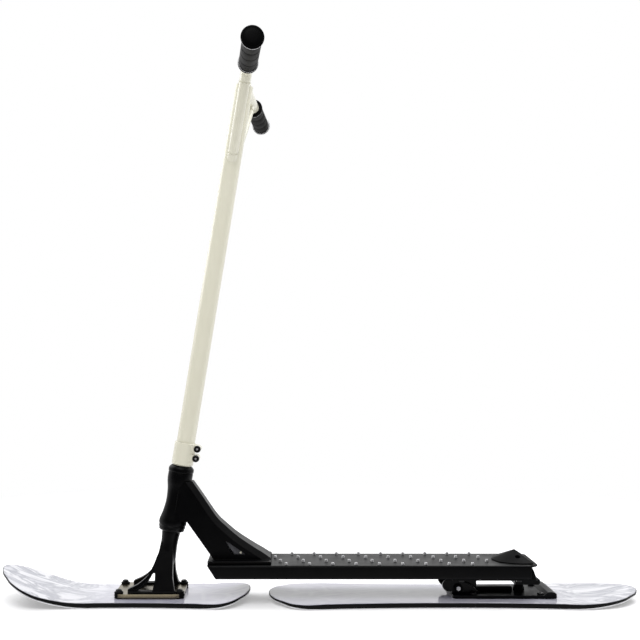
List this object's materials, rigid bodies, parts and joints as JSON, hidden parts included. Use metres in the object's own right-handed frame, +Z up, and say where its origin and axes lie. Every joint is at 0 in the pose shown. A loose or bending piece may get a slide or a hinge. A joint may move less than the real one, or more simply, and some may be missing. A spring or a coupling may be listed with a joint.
{
  "type": "snow scooter",
  "caption": "Snow scooter with a tall T-bar and fork on a steered front ski, a studded hollow deck and a rear ski hinged under the deck's tail.",
  "frame": {"origin": "on the snow surface, under the middle of the scooter's length and width", "axes": "+X forward to the front ski's nose, +Y to the rider's left, +Z up"},
  "size_m": [1.192, 0.5994, 0.9855],
  "materials": {
    "black_coat": "satin black powder coat on aluminium",
    "cream_paint": "gloss off-white paint on steel tube",
    "raw_aluminium": "polished bare aluminium",
    "bright_steel": "bright zinc-plated or ground steel",
    "black_steel": "black oxide steel fasteners",
    "black_rubber": "matt black moulded rubber",
    "black_plastic": "satin black moulded plastic",
    "ski_body": "black sidewalls and sintered running base over a laminated core",
    "top_sheet": "glossy pale lavender-grey printed top sheet"
  },
  "bodies": {
    "frame": {"deck": "black_coat", "neck": "black_coat", "deck_end_cap": "black_plastic", "foot_wedge": "black_plastic", "foot_wedge_screw_1": "black_steel", "foot_wedge_screw_2": "black_steel", "rear_hanger": "black_coat", "hanger_bolt_1": "black_steel", "hanger_bolt_2": "black_steel", "hanger_bolt_3": "black_steel", "hanger_bolt_4": "black_steel", "lower_bearing": "bright_steel", "upper_bearing": "bright_steel"},
    "steering": {"fork": "black_coat", "crown_race": "black_coat", "dust_cap": "black_coat", "compression_ring": "bright_steel", "steerer_shim": "raw_aluminium", "compression_bolt": "black_steel", "star_nut": "bright_steel", "bar_clamp": "cream_paint", "clamp_bolt_1": "black_steel", "clamp_bolt_2": "black_steel", "handlebar": "cream_paint", "left_grip": "black_rubber", "right_grip": "black_rubber", "left_bar_end": "black_plastic", "right_bar_end": "black_plastic", "front_base_plate": "raw_aluminium", "foot_screw_1": "black_steel", "foot_screw_2": "black_steel", "foot_screw_3": "black_steel", "foot_screw_4": "black_steel", "lower_rubber_1": "black_rubber", "lower_rubber_2": "black_rubber", "lower_rubber_3": "black_rubber", "lower_rubber_4": "black_rubber", "upper_rubber_1": "black_rubber", "upper_rubber_2": "black_rubber", "upper_rubber_3": "black_rubber", "upper_rubber_4": "black_rubber", "mount_bolt_1": "black_steel", "mount_bolt_2": "black_steel", "mount_bolt_3": "black_steel", "mount_bolt_4": "black_steel", "front_ski": "ski_body", "front_ski_top_sheet": "top_sheet", "front_ski_edge": "bright_steel"},
    "rear_truck": {"rear_ski": "ski_body", "rear_ski_top_sheet": "top_sheet", "rear_ski_edge": "bright_steel", "rear_base_plate": "black_coat", "rear_ski_screw_1": "black_steel", "rear_ski_screw_2": "black_steel", "rear_ski_screw_3": "black_steel", "rear_ski_screw_4": "black_steel", "bumper": "black_rubber", "bumper_screw": "black_steel", "pivot_bolt": "bright_steel", "pivot_nut": "bright_steel"}
  },
  "joints": [
    {"name": "steering_turn", "type": "hinge", "parent": "frame", "child": "steering", "pos_m": [0.27061, 0, 0.19046], "axis": [-0.1616, 0, 0.9869], "range_deg": [-120, 120]},
    {"name": "rear_ski_pitch", "type": "hinge", "parent": "frame", "child": "rear_truck", "pos_m": [-0.257, 0, 0.027], "axis": [0, 1, 0], "range_deg": [-4, 2], "stiffness_Nm_per_rad": 400, "deforming": ["bumper"]}
  ]
}
